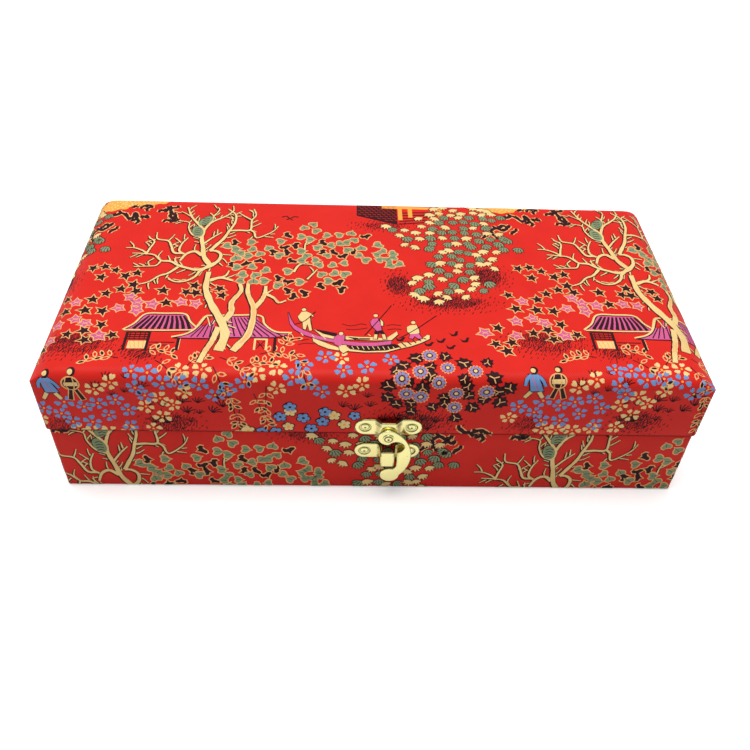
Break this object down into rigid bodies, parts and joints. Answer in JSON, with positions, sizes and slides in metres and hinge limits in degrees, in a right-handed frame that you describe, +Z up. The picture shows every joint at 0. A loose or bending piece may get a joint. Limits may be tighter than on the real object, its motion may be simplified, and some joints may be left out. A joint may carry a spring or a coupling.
{
  "type": "brocade box",
  "caption": "Rectangular brocade-covered keepsake box with a padded cloth-hinged lid, a satin lining and a brass horn-hook latch.",
  "frame": {"origin": "centre of the underside, on the surface the box stands on", "axes": "+X to the right along the length, +Y from the latch to the hinge, +Z up"},
  "size_m": [0.26, 0.1289, 0.0669],
  "materials": {
    "brocade": "red satin-weave brocade with a woven landscape pattern",
    "brass": "bright polished pressing",
    "satin": "gold satin over thin foam",
    "fibreboard": "raw fibreboard",
    "card": "raw grey card",
    "sponge": "soft sponge sheet",
    "bottom_paper": "matt dark red book cloth"
  },
  "bodies": {
    "base": {"base_bottom_board": "fibreboard", "base_front_board": "fibreboard", "base_back_board": "fibreboard", "base_left_board": "fibreboard", "base_right_board": "fibreboard", "base_brocade": "brocade", "underside_sheet": "bottom_paper", "base_floor_card": "card", "base_floor_pad": "satin", "base_lining_front": "satin", "base_lining_back": "satin", "base_lining_left": "satin", "base_lining_right": "satin", "keeper_plate": "brass", "keeper_nails": "brass", "hinge_cloth_base": "brocade"},
    "lid": {"lid_top_board": "fibreboard", "lid_front_board": "fibreboard", "lid_back_board": "fibreboard", "lid_left_board": "fibreboard", "lid_right_board": "fibreboard", "lid_sponge": "sponge", "lid_brocade": "brocade", "lid_lining_card": "card", "lid_lining_pad": "satin", "lid_lining_front": "satin", "lid_lining_back": "satin", "lid_lining_left": "satin", "lid_lining_right": "satin", "latch_plate": "brass", "latch_nails": "brass", "latch_rivet": "brass", "hinge_cloth_lid": "brocade"},
    "hook": {"latch_hook": "brass"}
  },
  "joints": [
    {"name": "lid_hinge", "type": "hinge", "parent": "base", "child": "lid", "pos_m": [0, 0.062, 0.03495], "axis": [-1, 0, 0], "range_deg": [0, 180]},
    {"name": "hook_swing", "type": "hinge", "parent": "lid", "child": "hook", "pos_m": [0.005, -0.0646, 0.03695], "axis": [0, -1, 0], "range_deg": [0, 180]}
  ]
}
